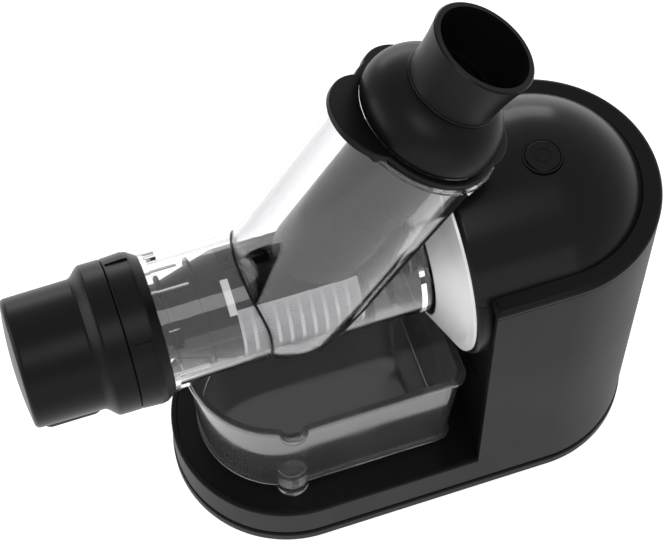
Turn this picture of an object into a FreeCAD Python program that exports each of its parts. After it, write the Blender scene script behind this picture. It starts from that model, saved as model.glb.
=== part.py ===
import FreeCAD, Part
import math
import os

# A horizontal cold press juicer. Origin: centre of the base on the surface it stands on.
# +X runs along the base towards the motor tower, +Z is up, -Y faces the user. Millimetres.

V = FreeCAD.Vector
X_AXIS = V(1, 0, 0)
Y_AXIS = V(0, 1, 0)
Z_AXIS = V(0, 0, 1)
ORIGIN = V(0, 0, 0)

# Clearances; a cutting solid runs over the cut by one of the last two
seat_gap = 0.3
running_gap = 0.05
free_gap = 0.8
over = 1.0
far = 600.0

# Base and tower
base_length = 286.0
base_width = 140.0
foot_height = 2.0
foot_radius = 9.0
foot_depth = 3.0
foot_inset = 26.0
foot_edge_round = 1.0
plate_flare = 0.7
plate_height = 7.0
plate_floor = 4.0
plate_lip = 4.0
plate_lip_wall = 3.0
groove_height = 3.0
groove_depth = 2.5
base_rim_z = 38.0
housing_wall = 3.0
deck_sink = 0.8
deck_thickness = 3.0
tower_front_x = 25.6
shoulder_rise = 25.1
edge_round = 1.2
column_recess = 2.4
column_thickness = 3.0
vent_count = 7
vent_pitch = 8.0
vent_width = 3.0
vent_length = 46.0
base_screw_radius = 2.0
base_screw_head = 3.6
base_screw_inset = 12.0
base_screw_head_height = 2.5
boss_wall = 3.0
web_width = 3.0

# Head
axis_z = 194.4
band_ledge = 4.0
head_wall = 3.0
head_front_x = 17.5
head_edge_round = 3.0
seam_rise = 1.5
band_rise = 4.2
band_edge = 3.0
band_gap = 0.6
band_tongue = 3.0
band_tongue_wall = 2.5

# Silver cone and hub
cone_front_x = 3.2
hub_margin = 4.1
cone_margin = 2.6
cone_rim_width = 1.5
cone_wall = 1.5
dish_margin = 2.0
hub_floor = 3.0
hub_floor_x = 15.0
hub_inset = 0.8
hub_wall = 4.0

# Barrel and chute
barrel_radius = 36.0
barrel_wall = 2.5
barrel_cap_x = -164.0
barrel_end_wall = 3.0
barrel_end_gap = 1.0
barrel_cap_gap = 1.0
chute_gap = 0.7784
chute_tilt = 30.6
chute_radius = 40.8
chute_wall = 2.5
chute_top = 146.5
chute_rim = 2.6
chute_rim_height = 2.5
barrel_rim = 2.4
barrel_rim_width = 3.0
barrel_lugs = 4
barrel_lug_length = 6.0
barrel_lug_width = 10.0
nozzle_x = -48.0
nozzle_length = 26.0
nozzle_width = 24.0
nozzle_drop = 8.0
nozzle_wall = 2.2
seal_radius = 14.0
seal_width = 4.0

# Flange and pusher, along the chute's axis
flange_thickness = 3.5
flange_radius = 42.0
flange_edge_round = 0.8
left_lobe_reach = 56.8
left_lobe_radius = 26.0
back_lobe_reach = 47.4
right_lobe_reach = 50.0
small_lobe_radius = 30.0
flange_skirt = 2.5
flange_skirt_wall = 2.0
dome_radius = 39.2
dome_rim = 3.0
dome_height = 22.5
dome_base_round = 1.2
pusher_wall = 2.6
neck_radius = 25.2
cup_length = 31.0
cup_radius = 28.6
cup_lip = 3.4
cup_edge = 0.8
bead_height = 1.6
bead_rise = 0.7
cup_depth = 27.0
throat_radius = 20.5
throat_step = 1.8
throat_step_height = 3.0
pusher_tube_radius = 25.0
pusher_offset = 3.0
pusher_floor = 4.0
pusher_clear = 8.0
tube_rim = 4.0
tube_rim_height = 3.0

# Strainer and auger
auger_radius = 27.0
auger_gap = 1.2
strainer_wall = 2.0
strainer_start = 3.0
strainer_end_x = -30.0
strainer_neck_radius = 21.0
strainer_neck_x = -138.0
strainer_cone_x = -105.0
ring_width = 2.4
rib_width = 1.6
rib_height = 3.6
front_rib_x = -137.0
second_rib_x = -119.0
slot_columns = 9
slot_rows = 4
slot_width = 1.6
slot_length = 12.0
slot_pitch = 16.0
slot_step = 19.0
slot_first_x = -102.0
window_x0 = -104.0
window_x1 = -38.0
window_half = 24.0
window_rise = 4.0
auger_start = 6.0
auger_neck_core = 14.0
auger_cone_radius = 20.0
auger_core_back = 11.5
auger_pitch = 30.0
auger_turns = 2.8
neck_pitch = 9.0
neck_turns = 1.5
neck_root = 3.0
neck_start = 20.0
flight_root = 6.0
flight_tip = 3.0
auger_tail_x = -8.0
auger_tail_radius = 10.0
hex_across = 12.0
hex_gap = 0.1
hex_length = 15.0
nose_radius = 5.0
nose_length = 9.0

# Lock ring and end cap
ring_length = 20.0
ring_radius = 42.0
ring_back_radius = 38.6
ring_swell = 0.6
ring_swell_x = 12.0
ring_fall_x = 15.0
panel_depth = 0.7
panel_margin = 1.8
panel_width = 12.5
panel_start = -36.0
panel_sweep = 75.0
cap_collar = 11.0
cap_step = 8.0
cap_body_radius = 36.4
cap_end_radius = 36.0
cap_length = 57.0
cap_crown = 2.4
cap_edge_round = 3.0
cap_wall = 2.6
spout_x = -199.5
spout_length = 35.0
spout_width = 40.0
spout_corner = 6.0
spout_rise = 9.0
spout_drop = 44.8
spout_wall = 2.4
spigot_length = 5.0
bush_radius = 9.0
bush_length = 8.0
cap_seal_width = 0.8
spoke_width = 4.0
spoke_count = 3

# Drive train
output_module = 2.0
first_module = 1.5
pinion_teeth = 12
wheel_teeth = 48
pressure_angle = 20.0
backlash = 0.16
gear_root_gap = 0.3
output_gear_x = 43.0
output_gear_width = 12.0
pinion_overhang = 2.0
first_gear_x = 57.0
first_gear_width = 8.0
web_thickness = 5.0
wheel_rim = 6.0
gear_plate_x = 36.0
gear_plate_thickness = 4.0
rear_plate_x = 68.0
plate_foot_z = 46.0
output_shaft_radius = 9.0
idler_shaft_radius = 5.0
motor_shaft_radius = 4.0
bearing_wall = 5.0
coupling_radius = 13.0
coupling_front_x = 5.0
motor_radius = 32.0
motor_wall = 4.0
motor_edge_round = 2.0
shaft_stand = 1.0
rotor_radius = 20.0
magnet_gap = 0.7
rotor_end_space = 4.0
fan_gap = 0.5
fan_disc = 1.2
fan_hub_radius = 9.0
fan_blade = 1.4
motor_back_space = 16.0
fan_radius = 26.0
fan_blades = 9
fan_width = 7.0
bar_radius = 4.0
bar_inset = 6.5
bar_rise = 10.0
plate_top_gap = 5.0
plate_screw_head = 3.5
plate_screw_height = 2.5
wheel_hub_wall = 5.0

# Button, switch, board and cable
button_y = -4.6
button_radius = 9.5
button_height = 5.0
button_stand = 0.4
button_gap = 0.3
button_edge_round = 0.8
mark_radius = 4.4
mark_width = 0.6
mark_depth = 0.3
stem_length = 3.0
switch_floor = 2.0
bezel_stand = 0.2
bezel_wall = 1.1
bezel_depth = 16.0
spring_radius = 3.2
spring_wire = 0.6
spring_turns = 4
stem_radius = 2.0
switch_height = 6.0
board_width = 70.0
board_height = 54.0
board_thickness = 1.6
board_z = 50.0
gland_z = 24.0
gland_radius = 6.0
gland_flange = 9.0
gland_bore = 3.6
gland_flange_width = 2.5
gland_inside = 3.0

# Juice container
tub_left_x = -132.2
tub_right_x = 20.6
tub_width = 112.0
tub_rim_z = 124.0
tub_draft = 5.0
tub_wall = 2.5
tub_floor = 3.0
tub_corner = 8.0
tub_lip = 1.5
tub_lip_height = 3.0
lug_x = -84.0
lug_radius = 9.5
lug_height = 28.0
lug_sink = 3.0
lug_edge_round = 1.0
lip_bump = 9.0
bump_sink = 4.0
bump_drop = 2.0
ledge_height = 7.0
ledge_width = 2.0
ledge_depth = 1.6

# Sizes that follow from the ones above
groove_z = foot_height + plate_height
wall_z = groove_z + groove_height
deck_z = base_rim_z - deck_sink
tower_axis_x = base_length / 2 - base_width / 2
column_x = tower_front_x + column_recess
column_back_x = column_x + column_thickness
bore_radius = barrel_radius - barrel_wall
chute_bore = chute_radius - chute_wall
barrel_end_x = hub_floor_x - barrel_end_gap
strainer_bore = auger_radius + auger_gap
strainer_outer = strainer_bore + strainer_wall
head_radius = base_width / 2 - band_ledge
tower_top_z = axis_z + shoulder_rise
head_seam_z = tower_top_z + seam_rise
cone_front_radius = barrel_radius + hub_margin
cone_back_radius = head_radius - cone_margin
cone_back_x = head_front_x - cone_rim_width
tilt_sine = math.sin(math.radians(chute_tilt))
tilt_cosine = math.cos(math.radians(chute_tilt))
chute_x = cone_back_x - (chute_radius + chute_gap + cone_back_radius * tilt_sine) / tilt_cosine
output_distance = output_module * (pinion_teeth + wheel_teeth) / 2
first_distance = first_module * (pinion_teeth + wheel_teeth) / 2
idler_z = axis_z - output_distance
motor_z = idler_z - first_distance
gear_plate_top = tower_top_z - plate_top_gap
rear_plate_end_x = rear_plate_x + gear_plate_thickness
motor_end_x = base_length / 2 - housing_wall - motor_back_space
rotor_length = motor_end_x - rear_plate_end_x - 2 * (motor_wall + rotor_end_space)
button_x = tower_axis_x
ring_end_x = barrel_cap_x + ring_length
head_top_z = axis_z + head_radius
flange_s = chute_top
dome_s = flange_s + flange_thickness
neck_s = dome_s + dome_rim + dome_height
sleeve_radius = neck_radius - pusher_wall
cup_s = neck_s + cup_length


def stadium(offset, length=base_length, width=base_width):
    """A racetrack face about the origin, grown or shrunk by an offset."""
    r = width / 2 + offset
    h = length / 2 - width / 2
    edges = [
        Part.LineSegment(V(-h, -r, 0), V(h, -r, 0)).toShape(),
        Part.Arc(V(h, -r, 0), V(h + r, 0, 0), V(h, r, 0)).toShape(),
        Part.LineSegment(V(h, r, 0), V(-h, r, 0)).toShape(),
        Part.Arc(V(-h, r, 0), V(-h - r, 0, 0), V(-h, -r, 0)).toShape(),
    ]
    return Part.Face(Part.Wire(edges))


def slab(face, z0, z1):
    shape = face.copy()
    shape.translate(V(0, 0, z0))
    return shape.extrude(V(0, 0, z1 - z0))


def box(x0, x1, y0, y1, z0, z1):
    return Part.makeBox(x1 - x0, y1 - y0, z1 - z0, V(x0, y0, z0))


def rod(radius, start, end, centre_z=axis_z, y=0.0):
    """A cylinder along X."""
    return Part.makeCylinder(radius, end - start, V(start, y, centre_z), X_AXIS)


def post(radius, x, y, z0, z1):
    return Part.makeCylinder(radius, z1 - z0, V(x, y, z0), Z_AXIS)


def turn(points, centre_z=axis_z):
    """A solid turned about an X axis from (x, radius) points."""
    corners = [V(x, 0, centre_z + r) for x, r in points]
    face = Part.Face(Part.makePolygon(corners + [corners[0]]))
    return face.revolve(V(0, 0, centre_z), X_AXIS, 360)


def lean(shape):
    """Moves a shape made about Z at the origin to the chute's axis, where it crosses the barrel's."""
    placed = shape.copy()
    placed.rotate(ORIGIN, Y_AXIS, chute_tilt)
    placed.translate(V(chute_x, 0, axis_z))
    return placed


def spun(points):
    """A solid turned about Z from (radius, height) points."""
    corners = [V(r, 0, z) for r, z in points]
    face = Part.Face(Part.makePolygon(corners + [corners[0]]))
    return face.revolve(ORIGIN, Z_AXIS, 360)


def spun_wire(edges):
    face = Part.Face(Part.Wire(edges))
    return face.revolve(ORIGIN, Z_AXIS, 360)


def swept(path, profile):
    """A solid made by sweeping a closed profile along a helix."""
    sweep = Part.BRepOffsetAPI.MakePipeShell(path)
    sweep.setFrenetMode(True)
    sweep.add(profile)
    sweep.build()
    sweep.makeSolid()
    return Part.Solid(sweep.shape())


def round_edges(shape, radius, wanted):
    edges = [edge for edge in shape.Edges if wanted(edge)]
    return shape.makeFillet(radius, edges) if edges else shape


def level_at(z):
    """Picks the edges that lie flat at one height."""
    def wanted(edge):
        box_ = edge.BoundBox
        return abs(box_.ZMin - z) < 0.01 and abs(box_.ZMax - z) < 0.01
    return wanted


def across_at(x):
    """Picks the edges that lie in one plane across X."""
    def wanted(edge):
        box_ = edge.BoundBox
        return abs(box_.XMin - x) < 0.01 and abs(box_.XMax - x) < 0.01
    return wanted


def whole(shape):
    solids = shape.Solids
    return solids[0] if len(solids) == 1 else Part.makeCompound(solids)


def save(name, shape):
    part = whole(shape.removeSplitter())
    part.exportStep("parts/" + name + ".step")
    print(name, len(part.Solids), round(part.Volume / 1000, 2), part.isValid())


# Base: bottom plate, feet, screws

def foot_places():
    reach = base_length / 2 - base_width / 2
    side = base_width / 2 - foot_inset
    return [(sx * reach, sy * side) for sx in (-1, 1) for sy in (-1, 1)]


def screw_places():
    reach = base_length / 2 - base_screw_inset
    side = base_width / 2 - base_screw_inset
    return [(-reach, 0), (reach, 0), (0, -side), (0, side)]


def base_plate():
    plate = slab(stadium(plate_flare), foot_height, groove_z)
    plate = round_edges(plate, edge_round, level_at(groove_z))
    neck = slab(stadium(-groove_depth), groove_z, wall_z)
    tongue = slab(stadium(-housing_wall - seat_gap), wall_z, wall_z + plate_lip)
    hollow = slab(stadium(-housing_wall - seat_gap - plate_lip_wall), foot_height + plate_floor,
                  wall_z + plate_lip)
    plate = plate.fuse([neck, tongue]).cut(hollow)
    for x, y in foot_places():
        plate = plate.cut(post(foot_radius + seat_gap, x, y, foot_height, foot_height + foot_depth))
    for x, y in screw_places():
        plate = plate.fuse(post(base_screw_head + boss_wall, x, y, foot_height + over, wall_z))
        plate = plate.cut(post(base_screw_radius + seat_gap, x, y, 0, far))
        plate = plate.cut(post(base_screw_head + seat_gap, x, y, 0, foot_height + plate_floor))
    for i in range(vent_count):
        y = (i - (vent_count - 1) / 2) * vent_pitch
        slot = box(tower_axis_x - vent_length / 2, tower_axis_x + vent_length / 2,
                   y - vent_width / 2, y + vent_width / 2, 0, wall_z)
        plate = plate.cut(slot)
    return plate


def rubber_feet():
    feet = []
    for x, y in foot_places():
        foot = post(foot_radius, x, y, 0, foot_height + foot_depth - seat_gap)
        feet.append(round_edges(foot, foot_edge_round, level_at(0)))
    return Part.makeCompound(feet)


def base_screws():
    screws = []
    for x, y in screw_places():
        head_z = foot_height + plate_floor
        head = post(base_screw_head, x, y, head_z - base_screw_head_height, head_z)
        shank = post(base_screw_radius, x, y, head_z, wall_z + plate_lip)
        screws.append(head.fuse(shank))
    return Part.makeCompound(screws)


# Housing: the base wall and the tower are one moulding, open at the tower's front

def main_housing():
    outer = slab(stadium(0), wall_z, base_rim_z)
    outer = round_edges(outer, edge_round, level_at(base_rim_z))
    outer = outer.cut(slab(stadium(-housing_wall), wall_z, base_rim_z))
    tower = slab(stadium(0), wall_z, tower_top_z).cut(slab(stadium(-housing_wall), wall_z, tower_top_z))
    front = box(-far, tower_front_x, -far, far, 0, far)
    tower = tower.cut(front)
    housing = outer.fuse(tower)
    bottom = wall_z + plate_lip
    top = deck_z - deck_thickness - seat_gap
    reach = base_screw_inset - housing_wall / 2
    half = web_width / 2
    for x, y in screw_places():
        out_x = math.copysign(reach, x) if abs(x) > 0 else 0
        out_y = math.copysign(reach, y) if abs(y) > 0 else 0
        boss = post(base_screw_head + boss_wall / 2, x, y, bottom, top)
        web = box(min(x, x + out_x) - half, max(x, x + out_x) + half,
                  min(y, y + out_y) - half, max(y, y + out_y) + half, bottom, top)
        housing = housing.fuse([boss, web])
    gland_hole = rod(gland_radius + seat_gap, base_length / 2 - 2 * housing_wall, far, gland_z)
    return housing.common(slab(stadium(0), wall_z, tower_top_z)).cut(gland_hole)


def deck_tray():
    deck = slab(stadium(-housing_wall - seat_gap), deck_z - deck_thickness, deck_z)
    return deck.cut(box(column_back_x, far, -far, far, 0, far))


def column_front():
    half = base_width / 2 - housing_wall - seat_gap
    panel = box(column_x, column_back_x, -half, half, deck_z + seat_gap, tower_top_z - over)
    return panel.cut(rod(coupling_radius + 2 * free_gap, 0, far))


# Shoulder band, head cover and front collar

def head_body(radius):
    """A cylinder from the collar's front, rounded at the back."""
    body = rod(radius, head_front_x, tower_axis_x)
    ball = Part.makeSphere(radius, V(tower_axis_x, 0, axis_z))
    back = rod(radius + over, tower_axis_x, tower_axis_x + radius + over)
    return body.fuse(ball.common(back))


def shoulder_band():
    bottom = tower_top_z + band_gap
    outer = slab(stadium(0), bottom, bottom + band_rise)
    outer = outer.cut(box(-far, tower_front_x, -far, far, 0, far))
    outer = round_edges(outer, band_edge, level_at(bottom + band_rise))
    inset = -housing_wall - seat_gap
    tongue = slab(stadium(inset), tower_top_z - band_tongue, bottom + over)
    tongue = tongue.cut(slab(stadium(inset - band_tongue_wall), tower_top_z - band_tongue, bottom + over))
    tongue = tongue.cut(box(-far, column_back_x + over, -far, far, 0, far))
    return outer.fuse(tongue).cut(head_body(head_radius + seat_gap))


def head_cover():
    shell = head_body(head_radius)
    shell = round_edges(shell, head_edge_round, across_at(head_front_x))
    inner = head_body(head_radius - head_wall)
    inner = inner.cut(box(0, head_front_x + head_wall, -far, far, 0, far))
    shell = shell.cut(inner)
    shell = shell.cut(box(0, far, -far, far, 0, head_seam_z))
    shell = shell.cut(rod(cone_back_radius + seat_gap, 0, head_front_x + head_wall + over))
    bezel_hole = button_radius + button_gap + bezel_wall + seat_gap
    return shell.cut(post(bezel_hole, button_x, button_y, axis_z, far))


def front_collar():
    disc = rod(head_radius, head_front_x, column_x - seat_gap)
    disc = round_edges(disc, head_edge_round, across_at(head_front_x))
    disc = disc.cut(box(0, far, -far, far, head_seam_z - seat_gap, far))
    dish = rod(cone_back_radius - cone_wall - dish_margin, 0, head_front_x + head_wall)
    return disc.cut(dish).cut(rod(cone_front_radius - cone_wall, 0, far))


def cone_shroud():
    return turn([(cone_front_x, cone_front_radius), (cone_back_x, cone_back_radius),
                 (head_front_x, cone_back_radius), (head_front_x, cone_back_radius - cone_wall),
                 (cone_back_x, cone_back_radius - cone_wall), (cone_front_x, cone_front_radius - cone_wall)])


def hub_socket():
    outer_radius = cone_front_radius - cone_wall - seat_gap
    ring = rod(outer_radius, cone_front_x + hub_inset, column_x - seat_gap)
    ring = ring.cut(rod(barrel_radius + seat_gap, 0, hub_floor_x))
    ring = ring.cut(rod(outer_radius - hub_wall, hub_floor_x + hub_floor, far))
    return ring.cut(rod(coupling_radius + free_gap, 0, far))


# Barrel and chute: one clear moulding

def barrel_blank(grow):
    """The outer form of the barrel, or with a negative growth its bore."""
    tube = rod(barrel_radius + grow, barrel_cap_x + barrel_cap_gap, barrel_end_x)
    chute = lean(Part.makeCylinder(chute_radius + grow, chute_top, ORIGIN, Z_AXIS))
    foot = lean(Part.makeSphere(chute_radius + grow))
    return tube, chute.fuse(foot)


def barrel_fittings():
    """The rim behind the lock ring with its lugs, and the rim round the chute's mouth."""
    x0 = ring_end_x + seat_gap
    x1 = x0 + barrel_rim_width
    rim = rod(barrel_radius + barrel_rim, x0, x1)
    lugs = []
    for i in range(barrel_lugs):
        lug = box(x0, x1 + barrel_lug_length, -barrel_lug_width / 2, barrel_lug_width / 2,
                  axis_z + bore_radius + over, axis_z + barrel_radius + barrel_rim - seat_gap)
        lug.rotate(V(0, 0, axis_z), X_AXIS, (i + 0.5) * 360 / barrel_lugs)
        lugs.append(lug)
    z0 = chute_top - chute_rim_height
    mouth = lean(Part.makeCylinder(chute_radius + chute_rim, chute_rim_height, V(0, 0, z0), Z_AXIS))
    return [rim, mouth] + lugs


def juicing_barrel():
    tube, chute = barrel_blank(0)
    bore = rod(bore_radius, -far, -barrel_end_wall)
    neck_bore = rod(bore_radius, 0, far)
    chute_hole = lean(Part.makeCylinder(chute_bore, far, ORIGIN, Z_AXIS))
    foot_hole = lean(Part.makeSphere(chute_bore))
    x0 = nozzle_x - nozzle_length / 2
    x1 = nozzle_x + nozzle_length / 2
    half = nozzle_width / 2
    low = axis_z - barrel_radius - nozzle_drop
    w = nozzle_wall
    nozzle = box(x0, x1, -half, half, low, axis_z - bore_radius + barrel_wall * 2)
    passage = box(x0 + w, x1 - w, -half + w, half - w, low - over, axis_z - bore_radius + barrel_wall * 4)
    blank = tube.fuse([chute, nozzle] + barrel_fittings())
    shaft_hole = rod(seal_radius + seat_gap, -barrel_end_wall - over, over)
    return blank.cut(bore).cut(chute_hole.fuse(foot_hole)).cut(neck_bore).cut(passage).cut(shaft_hole)


def barrel_seal():
    outer = seal_radius
    return turn([(-seal_width, auger_tail_radius + running_gap), (0, auger_tail_radius + running_gap),
                 (0, outer), (-barrel_end_wall, outer), (-barrel_end_wall - seat_gap, outer + over),
                 (-seal_width, outer + over)])


def flange_lobe(angle, reach, radius, height, z):
    """A round lobe of the flange, about the chute's axis."""
    out = reach - radius
    centre = V(out * math.cos(math.radians(angle)), out * math.sin(math.radians(angle)), z)
    return Part.makeCylinder(radius, height, centre, Z_AXIS)


def chute_flange():
    plate = Part.makeCylinder(flange_radius, flange_thickness, V(0, 0, flange_s), Z_AXIS)
    plate = plate.fuse([
        flange_lobe(180, left_lobe_reach, left_lobe_radius, flange_thickness, flange_s),
        flange_lobe(90, back_lobe_reach, small_lobe_radius, flange_thickness, flange_s),
        flange_lobe(0, right_lobe_reach, small_lobe_radius, flange_thickness, flange_s),
    ]).removeSplitter()
    plate = round_edges(plate, flange_edge_round, level_at(dome_s))
    inner = chute_radius + chute_rim + seat_gap
    skirt_z = flange_s - flange_skirt
    arc = Part.makeCylinder(inner + flange_skirt_wall, flange_skirt, V(0, 0, skirt_z), Z_AXIS)
    arc = arc.common(flange_lobe(180, left_lobe_reach, left_lobe_radius - over, flange_skirt, skirt_z))
    arc = arc.cut(Part.makeCylinder(inner, flange_skirt, V(0, 0, skirt_z), Z_AXIS))
    return lean(plate.fuse(arc).cut(Part.makeCylinder(chute_bore, far, ORIGIN, Z_AXIS)))


# Strainer and auger

def strainer_profile(inset, start):
    """The strainer's outline as (x, radius) points: a neck, a cone and a tube."""
    return [(start, strainer_neck_radius - inset), (strainer_neck_x, strainer_neck_radius - inset),
            (strainer_cone_x, strainer_outer - inset), (strainer_end_x, strainer_outer - inset)]


def strainer():
    start = barrel_cap_x + strainer_start
    tube = turn(strainer_profile(0, start) + [(strainer_end_x, 0), (start, 0)])
    seat_radius = bore_radius - seat_gap
    slope = (strainer_outer - strainer_neck_radius) / (strainer_cone_x - strainer_neck_x)
    rings = [rod(seat_radius, start, start + ring_width),
             rod(seat_radius, strainer_end_x - ring_width, strainer_end_x)]
    for x in (front_rib_x, second_rib_x):
        radius = strainer_neck_radius + slope * (x - strainer_neck_x) + rib_height
        rings.append(rod(min(radius, seat_radius), x - rib_width / 2, x + rib_width / 2))
    hollow = turn(strainer_profile(strainer_wall, -far) + [(far, strainer_bore), (far, 0), (-far, 0)])
    tube = tube.fuse(rings).cut(hollow)
    cutters = [box(window_x0, window_x1, -window_half, window_half, axis_z + window_rise, far)]
    for row in range(slot_rows):
        for column in range(slot_columns):
            x = slot_first_x + row * slot_pitch
            slot = box(x, x + slot_length, -slot_width / 2, slot_width / 2,
                       axis_z - strainer_outer - over, axis_z - strainer_bore + over)
            slot.rotate(V(0, 0, axis_z), X_AXIS, (column - (slot_columns - 1) / 2) * slot_step)
            cutters.append(slot)
    return tube.cut(Part.makeCompound(cutters))


def hexagon(across, x0, x1):
    corner = across / math.sqrt(3)
    points = [V(x0, corner * math.sin(math.radians(60 * i)), axis_z + corner * math.cos(math.radians(60 * i)))
              for i in range(7)]
    return Part.Face(Part.makePolygon(points)).extrude(V(x1 - x0, 0, 0))


def flight(x, pitch, turns, root, tip, root_width, tip_width, turned):
    """One helical blade about the auger's axis, from its root inside the core to its tip."""
    path = Part.makeHelix(pitch, pitch * turns, root)
    profile = Part.makePolygon([V(root, 0, -root_width / 2), V(tip, 0, -tip_width / 2),
                                V(tip, 0, tip_width / 2), V(root, 0, root_width / 2),
                                V(root, 0, -root_width / 2)])
    blade = swept(path, profile)
    blade.rotate(ORIGIN, Y_AXIS, 90)
    blade.translate(V(x, 0, axis_z))
    blade.rotate(V(0, 0, axis_z), X_AXIS, turned)
    return blade


def auger():
    front = barrel_cap_x + auger_start
    nose_x = front - nose_length
    core = turn([(nose_x, 0), (nose_x, nose_radius), (front, nose_radius), (front, auger_neck_core),
                 (strainer_neck_x - auger_gap, auger_neck_core),
                 (strainer_cone_x - auger_gap, auger_cone_radius),
                 (auger_tail_x, auger_core_back), (auger_tail_x, auger_tail_radius),
                 (hub_floor, auger_tail_radius), (hub_floor, 0)])
    main_x = strainer_cone_x + flight_root / 2 + 2 * over
    main = flight(main_x, auger_pitch, auger_turns, auger_core_back - flight_tip, auger_radius,
                  flight_root, flight_tip, 0)
    neck_tip = strainer_neck_radius - strainer_wall - auger_gap
    neck = flight(front + neck_root, neck_pitch, neck_turns, auger_neck_core - neck_root, neck_tip,
                  neck_root, neck_root / 2, neck_start)
    tail = hexagon(hex_across - 2 * hex_gap, 0, hub_floor + hex_length)
    return core.fuse(main).fuse(neck).fuse(tail)


# Lock ring and end cap

def lock_ring():
    bore = barrel_radius + seat_gap
    x0 = barrel_cap_x + seat_gap
    ring = turn([(x0, bore), (x0, ring_radius - cup_edge), (x0 + cup_edge, ring_radius),
                 (barrel_cap_x + ring_swell_x, ring_radius + ring_swell),
                 (barrel_cap_x + ring_fall_x, ring_radius),
                 (ring_end_x, ring_back_radius), (ring_end_x, bore)])
    low = ring_radius - panel_depth
    corners = [V(barrel_cap_x + panel_margin + dx, 0, axis_z + r)
               for dx, r in ((0, low), (panel_width, low), (panel_width, far), (0, far), (0, low))]
    panel = Part.Face(Part.makePolygon(corners)).revolve(V(0, 0, axis_z), X_AXIS, panel_sweep)
    panel.rotate(V(0, 0, axis_z), X_AXIS, panel_start)
    return ring.cut(panel)


def cap_profile(inset):
    """The cap's outline from the seam to the end face, as (x, radius) points."""
    collar_x = barrel_cap_x - cap_collar
    end_x = barrel_cap_x - cap_length
    points = [(barrel_cap_x, ring_radius - inset), (collar_x, ring_radius - inset)]
    drop = ring_radius - cap_body_radius
    steps = 6
    for i in range(1, steps + 1):
        t = i / steps
        points.append((collar_x - t * cap_step, ring_radius - inset - drop * (3 * t * t - 2 * t * t * t)))
    r = cap_edge_round
    corner_x = end_x + r + inset
    corner_r = cap_end_radius - inset - r
    for i in range(5):
        a = math.radians(90 * i / 4)
        points.append((corner_x - r * math.sin(a), corner_r + r * math.cos(a)))
    crown_steps = 4
    for i in range(1, crown_steps + 1):
        t = i / crown_steps
        points.append((end_x + inset - cap_crown * (2 * t - t * t), corner_r * (1 - t)))
    return points


def spout_block(inset, z0, z1):
    """The rounded box that hangs under the cap."""
    x0 = spout_x - spout_length / 2 + inset
    x1 = spout_x + spout_length / 2 - inset
    half = spout_width / 2 - inset
    block = box(x0, x1, -half, half, z0, z1)
    upright = [edge for edge in block.Edges if edge.BoundBox.ZLength > (z1 - z0) / 2]
    return block.makeFillet(spout_corner - inset, upright)


def end_cap():
    shell = turn(cap_profile(0) + [(barrel_cap_x, 0)])
    lip_radius = bore_radius - cap_wall
    inside = turn([(barrel_cap_x + over, 0), (barrel_cap_x + over, lip_radius)] +
                  [(x, min(r, lip_radius)) for x, r in cap_profile(cap_wall)[1:]])
    spigot = turn([(barrel_cap_x - over, lip_radius), (barrel_cap_x - over, bore_radius - seat_gap),
                   (barrel_cap_x + spigot_length - strainer_start, bore_radius - seat_gap),
                   (barrel_cap_x + spigot_length - strainer_start, lip_radius)])
    low = axis_z - spout_drop
    spout = spout_block(0, low, axis_z - cap_body_radius + spout_rise)
    shell = shell.fuse(spout).cut(inside)
    shell = shell.cut(spout_block(spout_wall, low - over, axis_z - lip_radius / 2))
    bush_x0 = barrel_cap_x - bush_length
    bush = rod(bush_radius, bush_x0, barrel_cap_x + over)
    spokes = []
    for i in range(spoke_count):
        spoke = box(bush_x0, barrel_cap_x - over, -spoke_width / 2, spoke_width / 2, axis_z,
                    axis_z + bore_radius - over)
        spoke.rotate(V(0, 0, axis_z), X_AXIS, i * 360 / spoke_count)
        spokes.append(spoke)
    return shell.fuse([spigot, bush] + spokes).cut(rod(nose_radius + running_gap, bush_x0 - over, far))


def cap_seal():
    x = barrel_cap_x + spigot_length - strainer_start
    inner = bore_radius - cap_wall
    outer = bore_radius - seat_gap
    return turn([(x, inner), (x, outer), (x + cap_seal_width, outer), (x + cap_seal_width, inner)])


# Pusher: dome and flared cup over a closed tube

def line(p, q):
    return Part.LineSegment(V(p[0], 0, p[1]), V(q[0], 0, q[1])).toShape()


def arc(p, middle, q):
    return Part.Arc(V(p[0], 0, p[1]), V(middle[0], 0, middle[1]), V(q[0], 0, q[1])).toShape()


def pusher_dome():
    """The dome: a shell with a bore for the mouth's sleeve, hollow between the two."""
    z1 = dome_s + dome_rim
    slim = dome_radius - neck_radius
    bore = sleeve_radius + running_gap
    base = (dome_radius - dome_base_round, dome_s)
    rim = (dome_radius, z1)
    waist = (neck_radius, neck_s)
    outline = [
        line((bore, dome_s), base),
        arc(base, (dome_radius - dome_base_round / 4, dome_s + dome_rim / 2), rim),
        arc(rim, (neck_radius + slim * 0.74, z1 + dome_height * 0.62), waist),
        line(waist, (bore, neck_s)),
        line((bore, neck_s), (bore, dome_s)),
    ]
    inner = dome_radius - pusher_wall
    low = dome_s + dome_rim / 2
    high = z1 + dome_height * 0.5
    void = spun([(sleeve_radius, low), (inner, low), (inner, z1), (neck_radius, high), (sleeve_radius, high)])
    return lean(spun_wire(outline).cut(void))


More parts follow.
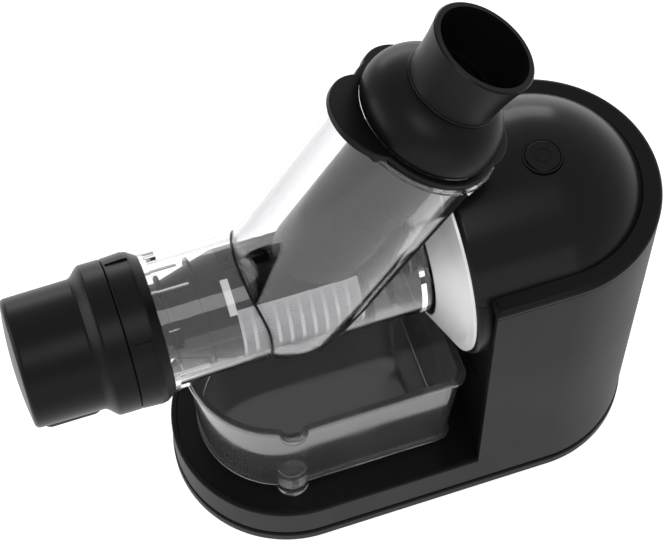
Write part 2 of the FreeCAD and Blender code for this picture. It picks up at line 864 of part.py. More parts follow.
def pusher_mouth():
    """The flared cup with its stepped throat and the sleeve that runs down through the dome."""
    bead = (neck_radius + bead_rise, neck_s + bead_height / 2)
    above = (neck_radius, neck_s + bead_height)
    mouth = (cup_radius, cup_s - cup_edge)
    edge = (cup_radius - cup_edge, cup_s)
    lip = (cup_radius - cup_lip, cup_s)
    floor_z = cup_s - cup_depth
    first = throat_radius - throat_step
    second = first - throat_step
    down = floor_z - throat_step_height
    outline = [
        line((second, dome_s), (sleeve_radius, dome_s)),
        line((sleeve_radius, dome_s), (sleeve_radius, neck_s)),
        line((sleeve_radius, neck_s), (neck_radius, neck_s)),
        arc((neck_radius, neck_s), bead, above),
        arc(above, (neck_radius + (cup_radius - neck_radius) * 0.30, neck_s + cup_length * 0.54), mouth),
        line(mouth, edge),
        line(edge, lip),
        arc(lip, (throat_radius + (lip[0] - throat_radius) * 0.62, cup_s - cup_depth * 0.5),
            (throat_radius, floor_z)),
        line((throat_radius, floor_z), (first, floor_z)),
        line((first, floor_z), (first, down)),
        line((first, down), (second, down)),
        line((second, down), (second, dome_s)),
    ]
    return lean(spun_wire(outline))


def pusher_tube():
    top = dome_s - seat_gap
    centre = V(pusher_offset, 0, -chute_radius)
    tube = Part.makeCylinder(pusher_tube_radius, top + chute_radius, centre, Z_AXIS)
    rim = Part.makeCylinder(pusher_tube_radius + tube_rim, tube_rim_height,
                            V(pusher_offset, 0, top - tube_rim_height), Z_AXIS)
    floor_z = axis_z + auger_radius + pusher_clear
    inner = Part.makeCylinder(pusher_tube_radius - pusher_wall, far, centre, Z_AXIS)
    hollow = lean(inner).cut(box(-far, far, -far, far, -far, floor_z + pusher_floor))
    return lean(tube.fuse(rim)).cut(box(-far, far, -far, far, -far, floor_z)).cut(hollow)


# Drive train

def involute(radius, t):
    return (radius * (math.cos(t) + t * math.sin(t)), radius * (math.sin(t) - t * math.cos(t)))


def gear(teeth, module, width, x, centre_z, turned=0.0):
    """A spur gear about an X axis; a tooth is centred on +Z when turned is 0."""
    pitch_radius = module * teeth / 2
    base_radius = pitch_radius * math.cos(math.radians(pressure_angle))
    tip_radius = pitch_radius + module - gear_root_gap / 2
    root_radius = pitch_radius - module - gear_root_gap
    start_radius = max(base_radius, root_radius + running_gap)
    t_pitch = math.sqrt((pitch_radius / base_radius) ** 2 - 1)
    px, py = involute(base_radius, t_pitch)
    half_tooth = math.pi / (2 * teeth) - backlash / (2 * pitch_radius)
    shift = half_tooth + math.atan2(py, px)
    flank = []
    steps = 3
    for i in range(steps + 1):
        r = start_radius + (tip_radius - start_radius) * i / steps
        t = math.sqrt(max((r / base_radius) ** 2 - 1, 0))
        x1, y1 = involute(base_radius, t)
        flank.append((math.hypot(x1, y1), shift - math.atan2(y1, x1)))
    points = []
    for k in range(teeth):
        centre = 2 * math.pi * k / teeth + math.radians(turned)
        side = [(root_radius, shift)] + flank
        for r, a in side:
            points.append((r, centre - a))
        for r, a in reversed(side):
            points.append((r, centre + a))
    corners = [V(x, r * math.sin(a), centre_z + r * math.cos(a)) for r, a in points]
    return Part.Face(Part.makePolygon(corners + [corners[0]])).extrude(V(width, 0, 0))


def dished(blank, module, x, width, shaft_radius, centre_z):
    """Thins a wheel's web between its rim and its hub, from both faces."""
    rim_in = module * wheel_teeth / 2 - module - wheel_rim
    depth = (width - web_thickness) / 2
    for x0 in (x - over, x + width - depth):
        x1 = x0 + depth + over
        pocket = rod(rim_in, x0, x1, centre_z)
        pocket = pocket.cut(rod(shaft_radius + wheel_hub_wall, x0 - over, x1 + over, centre_z))
        blank = blank.cut(pocket)
    return blank


def output_gear():
    wheel = gear(wheel_teeth, output_module, output_gear_width, output_gear_x, axis_z)
    wheel = dished(wheel, output_module, output_gear_x, output_gear_width, output_shaft_radius, axis_z)
    return wheel.cut(rod(output_shaft_radius, 0, far))


def output_shaft():
    shaft = rod(output_shaft_radius, column_x, rear_plate_end_x)
    coupling = rod(coupling_radius, coupling_front_x, column_back_x + over)
    socket = hexagon(hex_across, coupling_front_x - over, hub_floor + hex_length + over)
    return shaft.fuse(coupling).cut(socket)


def idler_gears():
    big = gear(wheel_teeth, first_module, first_gear_width, first_gear_x, idler_z, 0.0)
    big = dished(big, first_module, first_gear_x, first_gear_width, idler_shaft_radius, idler_z)
    small = gear(pinion_teeth, output_module, output_gear_width + pinion_overhang, output_gear_x, idler_z,
                 180 / pinion_teeth)
    return big.fuse(small).cut(rod(idler_shaft_radius + running_gap, 0, far, idler_z))


def idler_shaft():
    return rod(idler_shaft_radius, gear_plate_x, rear_plate_end_x, idler_z)


def motor_pinion():
    pinion = gear(pinion_teeth, first_module, first_gear_width, first_gear_x, motor_z, 180 / pinion_teeth)
    return pinion.cut(rod(motor_shaft_radius, 0, far, motor_z))


def motor_rotor():
    shaft_end_x = motor_end_x + fan_width + shaft_stand
    shaft = rod(motor_shaft_radius, first_gear_x - shaft_stand, shaft_end_x, motor_z)
    middle = (rear_plate_end_x + motor_end_x) / 2
    core = rod(rotor_radius, middle - rotor_length / 2, middle + rotor_length / 2, motor_z)
    return shaft.fuse(core)


def motor_can():
    can = rod(motor_radius, rear_plate_end_x, motor_end_x, motor_z)
    can = round_edges(can, motor_edge_round, across_at(motor_end_x))
    inside = rod(rotor_radius + magnet_gap, rear_plate_end_x + motor_wall, motor_end_x - motor_wall, motor_z)
    return can.cut(inside).cut(rod(motor_shaft_radius + running_gap, 0, far, motor_z))


def motor_fan():
    x = motor_end_x + fan_gap
    hub = rod(fan_hub_radius, x, x + fan_width, motor_z)
    disc = rod(fan_radius, x, x + fan_disc, motor_z)
    blades = []
    for i in range(fan_blades):
        blade = box(x, x + fan_width - over, -fan_blade / 2, fan_blade / 2, motor_z + fan_hub_radius - over,
                    motor_z + fan_radius)
        blade.rotate(V(0, 0, motor_z), X_AXIS, i * 360 / fan_blades)
        blades.append(blade)
    return hub.fuse([disc] + blades).cut(rod(motor_shaft_radius, 0, far, motor_z))


def plate_half():
    return base_width / 2 - housing_wall - seat_gap


def plate_blank(x):
    half = plate_half()
    plate = box(x, x + gear_plate_thickness, -half, half, plate_foot_z, gear_plate_top)
    bearing = rod(output_shaft_radius + bearing_wall, 0, far)
    return plate.cut(bearing).cut(rod(idler_shaft_radius, 0, far, idler_z))


def gear_plates():
    motor_hole = rod(motor_shaft_radius + free_gap, 0, far, motor_z)
    return Part.makeCompound([plate_blank(x).cut(motor_hole) for x in (gear_plate_x, rear_plate_x)])


def bar_places():
    half = plate_half() - bar_inset
    return [(y, z) for y in (-half, half) for z in (plate_foot_z + bar_rise, gear_plate_top - bar_inset)]


def plate_spacers():
    start = gear_plate_x + gear_plate_thickness
    return Part.makeCompound([rod(bar_radius, start, rear_plate_x, z, y) for y, z in bar_places()])


def plate_screws():
    end = rear_plate_end_x + plate_screw_height
    return Part.makeCompound([rod(plate_screw_head, rear_plate_end_x, end, z, y) for y, z in bar_places()])


def shaft_bearings():
    rings = []
    for x in (gear_plate_x, rear_plate_x):
        ring = rod(output_shaft_radius + bearing_wall, x, x + gear_plate_thickness)
        rings.append(ring.cut(rod(output_shaft_radius + running_gap, 0, far)))
    return Part.makeCompound(rings)


# Button, switch, spring, board and cable inlet

def button_top():
    return head_top_z + button_stand


def power_button():
    top = button_top()
    low = top - button_height
    cap = post(button_radius, button_x, button_y, low, top)
    cap = round_edges(cap, button_edge_round, level_at(top))
    stem = post(stem_radius, button_x, button_y, low - stem_length, low + over)
    mark = post(mark_radius, button_x, button_y, top - mark_depth, far)
    mark = mark.cut(post(mark_radius - mark_width, button_x, button_y, 0, far))
    return cap.fuse(stem).cut(mark)


def bezel_bottom():
    return head_top_z + bezel_stand - bezel_depth


def button_bezel():
    inner = button_radius + button_gap
    ring = post(inner + bezel_wall, button_x, button_y, bezel_bottom(), head_top_z + bezel_stand)
    return ring.cut(post(inner, button_x, button_y, 0, far))


def power_switch():
    bottom = bezel_bottom()
    body = post(button_radius, button_x, button_y, bottom, bottom + switch_height)
    return body.cut(post(stem_radius + free_gap / 2, button_x, button_y, bottom + switch_floor, far))


def button_spring():
    bottom = bezel_bottom() + switch_height + running_gap
    top = button_top() - button_height - running_gap
    height = top - bottom - 2 * spring_wire
    path = Part.makeHelix(height / spring_turns, height, spring_radius)
    wire = swept(path, Part.Wire(Part.makeCircle(spring_wire / 2, V(spring_radius, 0, 0), Y_AXIS)))
    wire.translate(V(button_x, button_y, bottom + spring_wire))
    return wire


def control_board():
    x = column_back_x + seat_gap
    board = box(x, x + board_thickness, -board_width / 2, board_width / 2, board_z, board_z + board_height)
    return board


def cable_gland():
    end = base_length / 2
    flange = rod(gland_flange, end, end + gland_flange_width, gland_z)
    bush = rod(gland_radius, end - housing_wall - gland_inside, end, gland_z)
    return flange.fuse(bush).cut(rod(gland_bore, 0, far, gland_z))


# Juice container

def tub_face(inset, z):
    """The container's plan: round at the left, square with rounded corners at the right."""
    half = tub_width / 2 - inset
    x0 = tub_left_x + inset + half
    x1 = tub_right_x - inset
    c = tub_corner
    k = c * (1 - math.sqrt(0.5))
    edges = [
        Part.LineSegment(V(x0, -half, z), V(x1 - c, -half, z)).toShape(),
        Part.Arc(V(x1 - c, -half, z), V(x1 - k, -half + k, z), V(x1, -half + c, z)).toShape(),
        Part.LineSegment(V(x1, -half + c, z), V(x1, half - c, z)).toShape(),
        Part.Arc(V(x1, half - c, z), V(x1 - k, half - k, z), V(x1 - c, half, z)).toShape(),
        Part.LineSegment(V(x1 - c, half, z), V(x0, half, z)).toShape(),
        Part.Arc(V(x0, half, z), V(x0 - half, 0, z), V(x0, -half, z)).toShape(),
    ]
    return Part.Wire(edges)


def juice_container():
    z0 = deck_z + seat_gap
    foot_inset = tub_lip + tub_draft
    body = Part.makeLoft([tub_face(foot_inset, z0), tub_face(tub_lip, tub_rim_z)], True, True)
    rim = Part.Face(tub_face(0, tub_rim_z - tub_lip_height)).extrude(V(0, 0, tub_lip_height))
    foot = Part.Face(tub_face(foot_inset - ledge_depth, z0 + ledge_height - ledge_width))
    foot = foot.extrude(V(0, 0, ledge_width))
    front = -tub_width / 2 + foot_inset
    lug_y = front + lug_sink
    lug = post(lug_radius, lug_x, lug_y, z0, z0 + lug_height)
    lug = round_edges(lug, lug_edge_round, level_at(z0 + lug_height))
    lug = lug.cut(box(-far, far, lug_y + lug_sink, far, 0, far))
    bump_y = -tub_width / 2 + bump_sink
    bump_z = tub_rim_z - bump_drop
    spout = Part.makeSphere(lip_bump, V(lug_x, bump_y, bump_z))
    spout = spout.common(box(-far, far, -far, 0, tub_rim_z - lip_bump, tub_rim_z))
    body = body.fuse([rim, foot, lug, spout])
    w = tub_wall
    inner = Part.makeLoft([tub_face(foot_inset + w, z0 + tub_floor), tub_face(tub_lip + w, tub_rim_z + over)],
                          True, True)
    lip_hole = Part.makeSphere(lip_bump - w, V(lug_x, bump_y, bump_z))
    return body.cut(inner).cut(lip_hole).cut(post(lip_bump - w, lug_x, bump_y, bump_z, far))


os.makedirs("parts", exist_ok=True)

pieces = {
    "base_plate": base_plate, "rubber_feet": rubber_feet, "base_screws": base_screws,
    "main_housing": main_housing, "deck_tray": deck_tray, "column_front": column_front,
    "shoulder_band": shoulder_band, "head_cover": head_cover, "front_collar": front_collar,
    "cone_shroud": cone_shroud, "hub_socket": hub_socket, "juicing_barrel": juicing_barrel,
    "barrel_seal": barrel_seal, "chute_flange": chute_flange, "strainer": strainer, "auger": auger,
    "lock_ring": lock_ring, "end_cap": end_cap, "cap_seal": cap_seal, "pusher_mouth": pusher_mouth,
    "pusher_dome": pusher_dome, "pusher_tube": pusher_tube, "output_gear": output_gear,
    "output_shaft": output_shaft,
    "idler_gears": idler_gears, "idler_shaft": idler_shaft, "motor_pinion": motor_pinion,
    "motor_rotor": motor_rotor, "motor_can": motor_can, "motor_fan": motor_fan,
    "gear_plates": gear_plates, "plate_spacers": plate_spacers, "plate_screws": plate_screws,
    "shaft_bearings": shaft_bearings, "power_button": power_button, "button_bezel": button_bezel,
    "power_switch": power_switch, "button_spring": button_spring, "control_board": control_board,
    "cable_gland": cable_gland, "juice_container": juice_container,
}
for name, make in pieces.items():
    save(name, make())
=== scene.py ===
import bpy, bmesh, math
from mathutils import Matrix, Vector


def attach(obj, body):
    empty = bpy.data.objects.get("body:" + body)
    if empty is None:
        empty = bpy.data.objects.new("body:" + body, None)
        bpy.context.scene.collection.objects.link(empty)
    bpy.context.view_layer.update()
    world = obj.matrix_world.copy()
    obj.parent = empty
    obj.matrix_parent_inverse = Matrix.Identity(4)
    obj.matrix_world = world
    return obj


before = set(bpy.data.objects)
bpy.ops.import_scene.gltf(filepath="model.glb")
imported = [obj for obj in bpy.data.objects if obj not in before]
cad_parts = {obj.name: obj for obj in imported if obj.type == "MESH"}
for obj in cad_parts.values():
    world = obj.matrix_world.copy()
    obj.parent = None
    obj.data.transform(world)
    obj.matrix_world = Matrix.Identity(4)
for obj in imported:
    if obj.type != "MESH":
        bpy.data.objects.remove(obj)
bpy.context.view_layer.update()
print("frame loaded")

# where the photo was taken from, and through which lens
cameraSpec = {
    "place": (-0.2244, -0.5443, 1.2372),
    "yaw": 18.40,
    "pitch": 61.21,
    "roll": -0.30,
    "lens": 118.1,
    "sensor": 36.0,
}


def makeCamera(spec):
    a, e, r = (math.radians(spec[k]) for k in ("yaw", "pitch", "roll"))
    forward = Vector((math.sin(a) * math.cos(e), math.cos(a) * math.cos(e), -math.sin(e)))
    level = Vector((math.cos(a), -math.sin(a), 0.0))
    up = level.cross(forward)
    right = level * math.cos(r) + up * math.sin(r)
    top = up * math.cos(r) - level * math.sin(r)
    data = bpy.data.cameras.new("photoCamera")
    data.lens = spec["lens"]
    data.sensor_width = spec["sensor"]
    data.sensor_fit = "HORIZONTAL"
    data.clip_start = 0.01
    camera = bpy.data.objects.new("photoCamera", data)
    bpy.context.scene.collection.objects.link(camera)
    turn = Matrix((right, top, -forward)).transposed()
    camera.matrix_world = Matrix.Translation(Vector(spec["place"])) @ turn.to_4x4()
    bpy.context.scene.camera = camera


makeCamera(cameraSpec)
print("camera set")


# materials

axisZ = 0.1944  # height of the barrel's axis
plasticShine = 0.10  # duller than a real plastic, so that white surroundings leave the blacks black


def newMaterial(name):
    material = bpy.data.materials.new(name)
    material.use_nodes = True
    return material, material.node_tree, material.node_tree.nodes["Principled BSDF"]


def addNode(tree, kind, **values):
    node = tree.nodes.new(kind)
    for key, value in values.items():
        if key in node.inputs.keys():
            node.inputs[key].default_value = value
        else:
            setattr(node, key, value)
    return node


def objectPlace(tree, scale=(1, 1, 1), centre=(0, 0, 0)):
    place = tree.nodes.new("ShaderNodeTexCoord")
    mapping = tree.nodes.new("ShaderNodeMapping")
    mapping.inputs["Scale"].default_value = scale
    mapping.inputs["Location"].default_value = [-c * s for c, s in zip(centre, scale)]
    tree.links.new(place.outputs["Object"], mapping.inputs["Vector"])
    return mapping.outputs["Vector"]


def ramp(tree, source, low, high, start=0.0, end=1.0):
    node = tree.nodes.new("ShaderNodeMapRange")
    node.inputs["From Min"].default_value = start
    node.inputs["From Max"].default_value = end
    node.inputs["To Min"].default_value = low
    node.inputs["To Max"].default_value = high
    tree.links.new(source, node.inputs["Value"])
    return node.outputs["Result"]


def mixColour(tree, factor, a, b):
    node = tree.nodes.new("ShaderNodeMix")
    node.data_type = "RGBA"
    node.inputs["A"].default_value = (*a, 1)
    node.inputs["B"].default_value = (*b, 1)
    tree.links.new(factor, node.inputs["Factor"])
    return node.outputs["Result"]


def bump(tree, height, strength, distance):
    node = tree.nodes.new("ShaderNodeBump")
    node.inputs["Strength"].default_value = strength
    node.inputs["Distance"].default_value = distance
    tree.links.new(height, node.inputs["Height"])
    return node.outputs["Normal"]


def mouldedPlastic(name, shade, darker, roughness, spread, grain, depth, coat=0.0):
    material, tree, shader = newMaterial(name)
    fine = addNode(tree, "ShaderNodeTexNoise", Scale=grain, Detail=3.0, Roughness=0.6)
    broad = addNode(tree, "ShaderNodeTexNoise", Scale=14.0, Detail=2.0)
    where = objectPlace(tree)
    tree.links.new(where, fine.inputs["Vector"])
    tree.links.new(where, broad.inputs["Vector"])
    tree.links.new(mixColour(tree, broad.outputs["Fac"], darker, shade), shader.inputs["Base Color"])
    tree.links.new(ramp(tree, broad.outputs["Fac"], roughness - spread, roughness + spread, 0.3, 0.7),
                   shader.inputs["Roughness"])
    tree.links.new(bump(tree, fine.outputs["Fac"], 0.35, depth), shader.inputs["Normal"])
    shader.inputs["IOR"].default_value = 1.5
    shader.inputs["Specular IOR Level"].default_value = plasticShine
    shader.inputs["Coat Weight"].default_value = coat
    shader.inputs["Coat Roughness"].default_value = 0.12
    return material


def turnedMetal(name, colour, roughness, metallic=1.0):
    material, tree, shader = newMaterial(name)
    where = objectPlace(tree, centre=(0, 0, axisZ))
    split = addNode(tree, "ShaderNodeSeparateXYZ")
    tree.links.new(where, split.inputs["Vector"])
    square = addNode(tree, "ShaderNodeCombineXYZ")
    tree.links.new(split.outputs["Y"], square.inputs["X"])
    tree.links.new(split.outputs["Z"], square.inputs["Y"])
    far = addNode(tree, "ShaderNodeVectorMath", operation="LENGTH")
    tree.links.new(square.outputs["Vector"], far.inputs[0])
    rings = addNode(tree, "ShaderNodeCombineXYZ")
    tree.links.new(far.outputs["Value"], rings.inputs["X"])
    tree.links.new(split.outputs["X"], rings.inputs["Y"])
    lines = addNode(tree, "ShaderNodeTexNoise", Scale=2600.0, Detail=4.0, Roughness=0.7)
    tree.links.new(rings.outputs["Vector"], lines.inputs["Vector"])
    tree.links.new(ramp(tree, lines.outputs["Fac"], roughness - 0.06, roughness + 0.08, 0.3, 0.7),
                   shader.inputs["Roughness"])
    tree.links.new(bump(tree, lines.outputs["Fac"], 0.25, 0.00004), shader.inputs["Normal"])
    shade = tuple(c * 0.86 for c in colour)
    tree.links.new(mixColour(tree, lines.outputs["Fac"], shade, colour), shader.inputs["Base Color"])
    shader.inputs["Metallic"].default_value = metallic
    shader.inputs["Anisotropic"].default_value = 0.4
    return material


def clearPlastic(name, tint, edgeTint, roughness, waviness, clearness=1.0):
    material, tree, shader = newMaterial(name)
    wave = addNode(tree, "ShaderNodeTexNoise", Scale=38.0, Detail=1.5)
    tree.links.new(objectPlace(tree), wave.inputs["Vector"])
    tree.links.new(bump(tree, wave.outputs["Fac"], 0.2, waviness), shader.inputs["Normal"])
    tree.links.new(ramp(tree, wave.outputs["Fac"], roughness * 0.6, roughness * 1.4, 0.3, 0.7),
                   shader.inputs["Roughness"])
    facing = addNode(tree, "ShaderNodeLayerWeight", Blend=0.35)
    edge = ramp(tree, facing.outputs["Facing"], 0.0, 1.0, 0.35, 0.95)
    tree.links.new(mixColour(tree, edge, tint, edgeTint), shader.inputs["Base Color"])
    shader.inputs["Transmission Weight"].default_value = clearness
    shader.inputs["IOR"].default_value = 1.47
    return material


plastics = {
    "satinBlack": {"shade": (0.0055, 0.0055, 0.0058), "darker": (0.0040, 0.0040, 0.0043),
                   "roughness": 0.34, "spread": 0.03, "grain": 900, "depth": 0.00003},
    "matteBlack": {"shade": (0.0065, 0.0065, 0.0068), "darker": (0.0050, 0.0050, 0.0052),
                   "roughness": 0.46, "spread": 0.03, "grain": 1400, "depth": 0.00005},
    "glossBlack": {"shade": (0.0035, 0.0035, 0.0038), "darker": (0.0025, 0.0025, 0.0028),
                   "roughness": 0.27, "spread": 0.02, "grain": 500, "depth": 0.00001, "coat": 0.075},
    "darkInner": {"shade": (0.007, 0.007, 0.0075), "darker": (0.005, 0.005, 0.0055),
                  "roughness": 0.36, "spread": 0.04, "grain": 700, "depth": 0.00004},
    "softRubber": {"shade": (0.010, 0.010, 0.010), "darker": (0.007, 0.007, 0.007),
                   "roughness": 0.7, "spread": 0.05, "grain": 600, "depth": 0.00006},
    "boardGreen": {"shade": (0.02, 0.10, 0.04), "darker": (0.015, 0.07, 0.03),
                   "roughness": 0.4, "spread": 0.05, "grain": 300, "depth": 0.00003},
}
metals = {
    "silverTurned": {"colour": (0.90, 0.90, 0.90), "roughness": 0.42, "metallic": 0.35},
    "screenSteel": {"colour": (0.80, 0.80, 0.81), "roughness": 0.36, "metallic": 0.7},
    "plainSteel": {"colour": (0.50, 0.50, 0.51), "roughness": 0.34},
}
clears = {
    "clearShell": {"tint": (0.93, 0.93, 0.94), "edgeTint": (0.12, 0.12, 0.13),
                   "roughness": 0.02, "waviness": 0.0003},
    "smokedShell": {"tint": (0.46, 0.46, 0.47), "edgeTint": (0.20, 0.20, 0.205),
                    "roughness": 0.08, "waviness": 0.0003, "clearness": 0.93},
}
finishes = {}
for maker, rows in ((mouldedPlastic, plastics), (turnedMetal, metals), (clearPlastic, clears)):
    for finishName, values in rows.items():
        finishes[finishName] = maker(finishName, **values)
print(len(finishes), "finishes made")

nodeFinish = {
    "satinBlack": ("deck_tray", "column_front", "shoulder_band", "front_collar", "chute_flange", "lock_ring",
                   "end_cap", "pusher_mouth", "pusher_dome"),
    "matteBlack": ("base_plate", "main_housing"),
    "glossBlack": ("head_cover", "power_button", "button_bezel", "pusher_tube"),
    "darkInner": ("hub_socket", "strainer", "auger", "motor_fan", "power_switch"),
    "softRubber": ("rubber_feet", "barrel_seal", "cap_seal", "cable_gland"),
    "boardGreen": ("control_board",),
    "silverTurned": ("cone_shroud",),
    "plainSteel": ("base_screws", "output_gear", "output_shaft", "idler_gears", "idler_shaft", "motor_pinion",
                   "motor_rotor", "motor_can", "gear_plates", "plate_spacers", "plate_screws", "shaft_bearings",
                   "button_spring"),
    "clearShell": ("juicing_barrel",),
    "smokedShell": ("juice_container",),
}
for finishName, nodeNames in nodeFinish.items():
    for nodeName in nodeNames:
        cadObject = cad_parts[nodeName]
        cadObject.data.materials.clear()
        cadObject.data.materials.append(finishes[finishName])
print("finishes on the nodes")


# pieces: small parts in rows or along a path, grown round the barrel's or the chute's axis

chuteTilt = math.radians(30.6)
barrelAxis = {"turn": (0.0, 0.0, 0.0), "place": (0.0, 0.0, axisZ)}
chuteAxis = {"turn": (0.0, chuteTilt - math.pi / 2, 0.0), "place": (-0.0698, 0.0, axisZ)}


def newTree(name, sizes):
    tree = bpy.data.node_groups.new(name, "GeometryNodeTree")
    tree.interface.new_socket("Geometry", in_out="INPUT", socket_type="NodeSocketGeometry")
    for label, value in sizes.items():
        kind = "NodeSocketInt" if isinstance(value, int) else "NodeSocketFloat"
        tree.interface.new_socket(label, in_out="INPUT", socket_type=kind)
    tree.interface.new_socket("Geometry", in_out="OUTPUT", socket_type="NodeSocketGeometry")
    return tree, tree.nodes.new("NodeGroupInput"), tree.nodes.new("NodeGroupOutput")


def feed(tree, node, values):
    for socket, value in zip(node.inputs, values):
        if isinstance(value, (int, float)):
            socket.default_value = value
        else:
            tree.links.new(value, socket)


def maths(tree, operation, *values):
    node = tree.nodes.new("ShaderNodeMath")
    node.operation = operation
    feed(tree, node, values)
    return node.outputs["Value"]


def triple(tree, x, y, z):
    node = tree.nodes.new("ShaderNodeCombineXYZ")
    feed(tree, node, (x, y, z))
    return node.outputs["Vector"]


# x stays along the axis, y is read as an angle and z as a radius
def bendRound(tree, geometry):
    spot = tree.nodes.new("GeometryNodeInputPosition")
    split = tree.nodes.new("ShaderNodeSeparateXYZ")
    tree.links.new(spot.outputs["Position"], split.inputs["Vector"])
    outward = maths(tree, "MULTIPLY", split.outputs["Z"], maths(tree, "SINE", split.outputs["Y"]))
    upward = maths(tree, "MULTIPLY", split.outputs["Z"], maths(tree, "COSINE", split.outputs["Y"]))
    bend = tree.nodes.new("GeometryNodeSetPosition")
    tree.links.new(geometry, bend.inputs["Geometry"])
    place = triple(tree, split.outputs["X"], maths(tree, "MULTIPLY", outward, -1.0), upward)
    tree.links.new(place, bend.inputs["Position"])
    return bend.outputs["Geometry"]


def endTree(tree, geometry, out, material):
    real = tree.nodes.new("GeometryNodeRealizeInstances")
    coat = tree.nodes.new("GeometryNodeSetMaterial")
    coat.inputs["Material"].default_value = material
    tree.links.new(geometry, real.inputs["Geometry"])
    tree.links.new(real.outputs["Geometry"], coat.inputs["Geometry"])
    tree.links.new(coat.outputs["Geometry"], out.inputs["Geometry"])


def growPiece(name, tree, sizes, material, body, start=None):
    holder = bpy.data.objects.new(name + "Start", start or bpy.data.meshes.new(name + "Start"))
    bpy.context.scene.collection.objects.link(holder)
    modifier = holder.modifiers.new("grow", "NODES")
    modifier.node_group = tree
    for item in tree.interface.items_tree:
        if item.in_out == "INPUT" and item.name in sizes:
            modifier[item.identifier] = sizes[item.name]
    grown = holder.evaluated_get(bpy.context.evaluated_depsgraph_get())
    mesh = bpy.data.meshes.new_from_object(grown)
    bpy.data.objects.remove(holder)
    mesh.name = name
    piece = bpy.data.objects.new(name, mesh)
    bpy.context.scene.collection.objects.link(piece)
    clean = bmesh.new()
    clean.from_mesh(mesh)
    bmesh.ops.remove_doubles(clean, verts=clean.verts, dist=0.000002)
    bmesh.ops.recalc_face_normals(clean, faces=clean.faces)
    clean.to_mesh(mesh)
    clean.free()
    mesh.materials.clear()
    mesh.materials.append(material)
    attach(piece, body)
    print(name, len(mesh.polygons), "faces")
    return piece


# bars on a grid of lengths and angles, each bent to the round
def barRows(name, sizes, axis, material):
    tree, given, out = newTree(name, sizes)
    get = given.outputs
    grid = tree.nodes.new("GeometryNodeMeshGrid")
    gridSockets = {"Reach": "Size X", "Sweep": "Size Y", "Columns": "Vertices X", "Rows": "Vertices Y"}
    for label, socket in gridSockets.items():
        tree.links.new(get[label], grid.inputs[socket])
    bar = tree.nodes.new("GeometryNodeMeshCube")
    tree.links.new(triple(tree, get["Bar Length"], get["Bar Angle"], get["Bar Height"]), bar.inputs["Size"])
    tree.links.new(get["Bends"], bar.inputs["Vertices Y"])
    rows = tree.nodes.new("GeometryNodeInstanceOnPoints")
    tree.links.new(grid.outputs["Mesh"], rows.inputs["Points"])
    tree.links.new(bar.outputs["Mesh"], rows.inputs["Instance"])
    real = tree.nodes.new("GeometryNodeRealizeInstances")
    tree.links.new(rows.outputs["Instances"], real.inputs["Geometry"])
    shift = tree.nodes.new("GeometryNodeTransform")
    tree.links.new(real.outputs["Geometry"], shift.inputs["Geometry"])
    tree.links.new(triple(tree, get["Middle"], get["Turned"], get["Radius"]), shift.inputs["Translation"])
    settle = tree.nodes.new("GeometryNodeTransform")
    settle.inputs["Rotation"].default_value = axis["turn"]
    settle.inputs["Translation"].default_value = axis["place"]
    tree.links.new(bendRound(tree, shift.outputs["Geometry"]), settle.inputs["Geometry"])
    endTree(tree, settle.outputs["Geometry"], out, material)
    return tree


pressScreen = {  # the fine metal screen in the strainer's lower half
    "Reach": 0.0, "Sweep": 0.0, "Columns": 1, "Rows": 1, "Bar Length": 0.068, "Bar Angle": 1.5,
    "Bar Height": 0.0006, "Bends": 40, "Middle": -0.0690, "Turned": 1.42, "Radius": 0.0308,
}
screenLouvres = {  # its raised slots
    "Reach": 0.060, "Sweep": 1.36, "Columns": 10, "Rows": 34, "Bar Length": 0.0046, "Bar Angle": 0.012,
    "Bar Height": 0.0005, "Bends": 3, "Middle": -0.0690, "Turned": 1.42, "Radius": 0.0313,
}
neckRails = {  # lengthwise rails round the strainer's neck
    "Reach": 0.0, "Sweep": 4.7124, "Columns": 1, "Rows": 4, "Bar Length": 0.0240, "Bar Angle": 0.036,
    "Bar Height": 0.0014, "Bends": 3, "Middle": -0.1350, "Turned": 2.3562, "Radius": 0.0322,
}
windowRims = {  # short guards at the front of the strainer's window
    "Reach": 0.0, "Sweep": 3.1416, "Columns": 1, "Rows": 2, "Bar Length": 0.0042, "Bar Angle": 0.60,
    "Bar Height": 0.0012, "Bends": 16, "Middle": -0.1050, "Turned": 1.99, "Radius": 0.0324,
}
chuteEdgeRails = {  # thin ribs down the chute's lower right side
    "Reach": 0.0, "Sweep": 0.10, "Columns": 1, "Rows": 2, "Bar Length": 0.104, "Bar Angle": 0.020,
    "Bar Height": 0.0010, "Bends": 3, "Middle": 0.0880, "Turned": 2.14, "Radius": 0.0410,
}
chuteClips = {  # two small clips under the flange
    "Reach": 0.0, "Sweep": 0.34, "Columns": 1, "Rows": 2, "Bar Length": 0.0070, "Bar Angle": 0.12,
    "Bar Height": 0.0016, "Bends": 5, "Middle": 0.1395, "Turned": 2.30, "Radius": 0.0415,
}
for name, sizes, axis, finishName, slotName in (
    ("pressScreen", pressScreen, barrelAxis, "plainSteel", "steel"),
    ("screenLouvres", screenLouvres, barrelAxis, "plainSteel", "steel"),
    ("neckRails", neckRails, barrelAxis, "screenSteel", "steel"),
    ("windowRims", windowRims, barrelAxis, "screenSteel", "steel"),
    ("chuteEdgeRails", chuteEdgeRails, chuteAxis, "glossBlack", "dark_inner"),
    ("chuteClips", chuteClips, chuteAxis, "screenSteel", "steel"),
):
    tree = barRows(name, sizes, axis, finishes[finishName])
    growPiece(name, tree, sizes, finishes[finishName], "barrel")

footSeam = {"Bead Radius": 0.0008, "Bead Sides": 8}  # the moulded line where the chute's foot meets the barrel
seamRoute = {"barrel": 0.0361, "chute": 0.0408, "steps": 96}  # the two radii that meet, and points round each


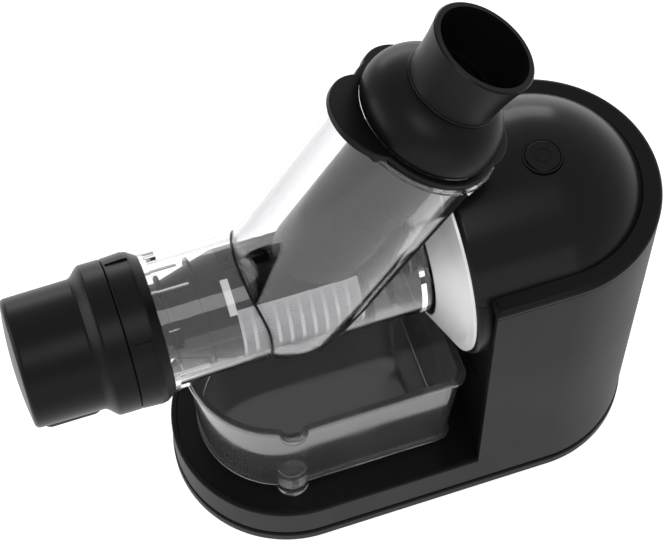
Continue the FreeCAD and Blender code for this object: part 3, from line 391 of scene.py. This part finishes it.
def seamPath(route):
    barrel, chute, steps = route["barrel"], route["chute"], route["steps"]
    shape = bmesh.new()
    for side in (-1, 1):
        ring = []
        for i in range(steps):
            turned = 2 * math.pi * i / steps
            y, z = -barrel * math.sin(turned), barrel * math.cos(turned)
            across = side * math.sqrt(chute * chute - y * y)
            x = (across + z * math.sin(chuteTilt)) / math.cos(chuteTilt)
            if x * math.sin(chuteTilt) + z * math.cos(chuteTilt) < 0:
                x = side * math.sqrt(chute * chute - barrel * barrel)
            ring.append(shape.verts.new((x + chuteAxis["place"][0], y, z + axisZ)))
        for i in range(steps):
            shape.edges.new((ring[i], ring[(i + 1) % steps]))
    mesh = bpy.data.meshes.new("seamPath")
    shape.to_mesh(mesh)
    shape.free()
    return mesh


def seamTree(sizes, material):
    tree, given, out = newTree("footSeam", sizes)
    path = tree.nodes.new("GeometryNodeMeshToCurve")
    tree.links.new(given.outputs["Geometry"], path.inputs["Mesh"])
    ring = tree.nodes.new("GeometryNodeCurvePrimitiveCircle")
    tree.links.new(given.outputs["Bead Radius"], ring.inputs["Radius"])
    tree.links.new(given.outputs["Bead Sides"], ring.inputs["Resolution"])
    bead = tree.nodes.new("GeometryNodeCurveToMesh")
    tree.links.new(path.outputs["Curve"], bead.inputs["Curve"])
    tree.links.new(ring.outputs["Curve"], bead.inputs["Profile Curve"])
    endTree(tree, bead.outputs["Mesh"], out, material)
    return tree


seamFinish = finishes["glossBlack"]
growPiece("footSeam", seamTree(footSeam, seamFinish), footSeam, seamFinish, "barrel",
          seamPath(seamRoute))
print("pieces grown")


# studio

studio = {
    "floorSize": 8.0,
    "floorShade": (0.8, 0.8, 0.8),
    "floorGlow": 0.75,  # the floor's own light; with the lamps it clips to white, and so does its shadow
    "worldStrength": 0.35,
    "lamps": {
        "frontLow": {"place": (-0.35, -1.5, 0.42), "aim": (-0.05, 0, 0.18),
                     "width": 2.0, "height": 0.75, "power": 5},
        "leftBack": {"place": (-1.3, 0.32, 0.52), "aim": (0.0, 0, 0.30),
                     "width": 1.0, "height": 0.7, "power": 8},
        "backLow": {"place": (0.30, 1.5, 0.42), "aim": (0.0, 0, 0.22),
                    "width": 1.3, "height": 0.5, "power": 8},
        "topSoft": {"place": (0.0, -0.6, 1.7), "aim": (0.0, 0, 0.2),
                    "width": 0.7, "height": 0.7, "power": 6},
    },
}


# 1 for rays from the camera and for those that metal, gloss and clear plastic send on, else 0
def seenBackground(tree):
    path = tree.nodes.new("ShaderNodeLightPath")
    sent = maths(tree, "MAXIMUM", path.outputs["Is Glossy Ray"], path.outputs["Is Transmission Ray"])
    return maths(tree, "MAXIMUM", path.outputs["Is Camera Ray"], sent)


def makeStudio(spec):
    bpy.ops.mesh.primitive_plane_add(size=spec["floorSize"])
    floor = bpy.context.object
    floor.name = "studioFloor"
    material, tree, shader = newMaterial("paleFloor")
    shader.inputs["Base Color"].default_value = (*spec["floorShade"], 1)
    shader.inputs["Roughness"].default_value = 0.8
    shader.inputs["Emission Color"].default_value = (1, 1, 1, 1)
    glow = maths(tree, "MULTIPLY", seenBackground(tree), spec["floorGlow"])
    tree.links.new(glow, shader.inputs["Emission Strength"])
    floor.data.materials.append(material)
    world = bpy.data.worlds.new("studioWorld")
    bpy.context.scene.world = world
    world.use_nodes = True
    tree = world.node_tree
    back = tree.nodes["Background"]
    strength = tree.nodes.new("ShaderNodeMapRange")
    strength.inputs["To Min"].default_value = spec["worldStrength"]
    strength.inputs["To Max"].default_value = 1.0
    tree.links.new(seenBackground(tree), strength.inputs["Value"])
    tree.links.new(strength.outputs["Result"], back.inputs["Strength"])
    back.inputs["Color"].default_value = (1, 1, 1, 1)
    for name, lamp in spec["lamps"].items():
        data = bpy.data.lights.new(name, "AREA")
        data.shape = "RECTANGLE"
        data.size = lamp["width"]
        data.size_y = lamp["height"]
        data.energy = lamp["power"]
        light = bpy.data.objects.new(name, data)
        bpy.context.scene.collection.objects.link(light)
        light.location = lamp["place"]
        aim = Vector(lamp["aim"]) - Vector(lamp["place"])
        light.rotation_euler = aim.to_track_quat("-Z", "Y").to_euler()
        light.visible_camera = False
        light.visible_transmission = False
    bpy.context.scene.view_settings.view_transform = "Standard"


makeStudio(studio)
print("studio lit")
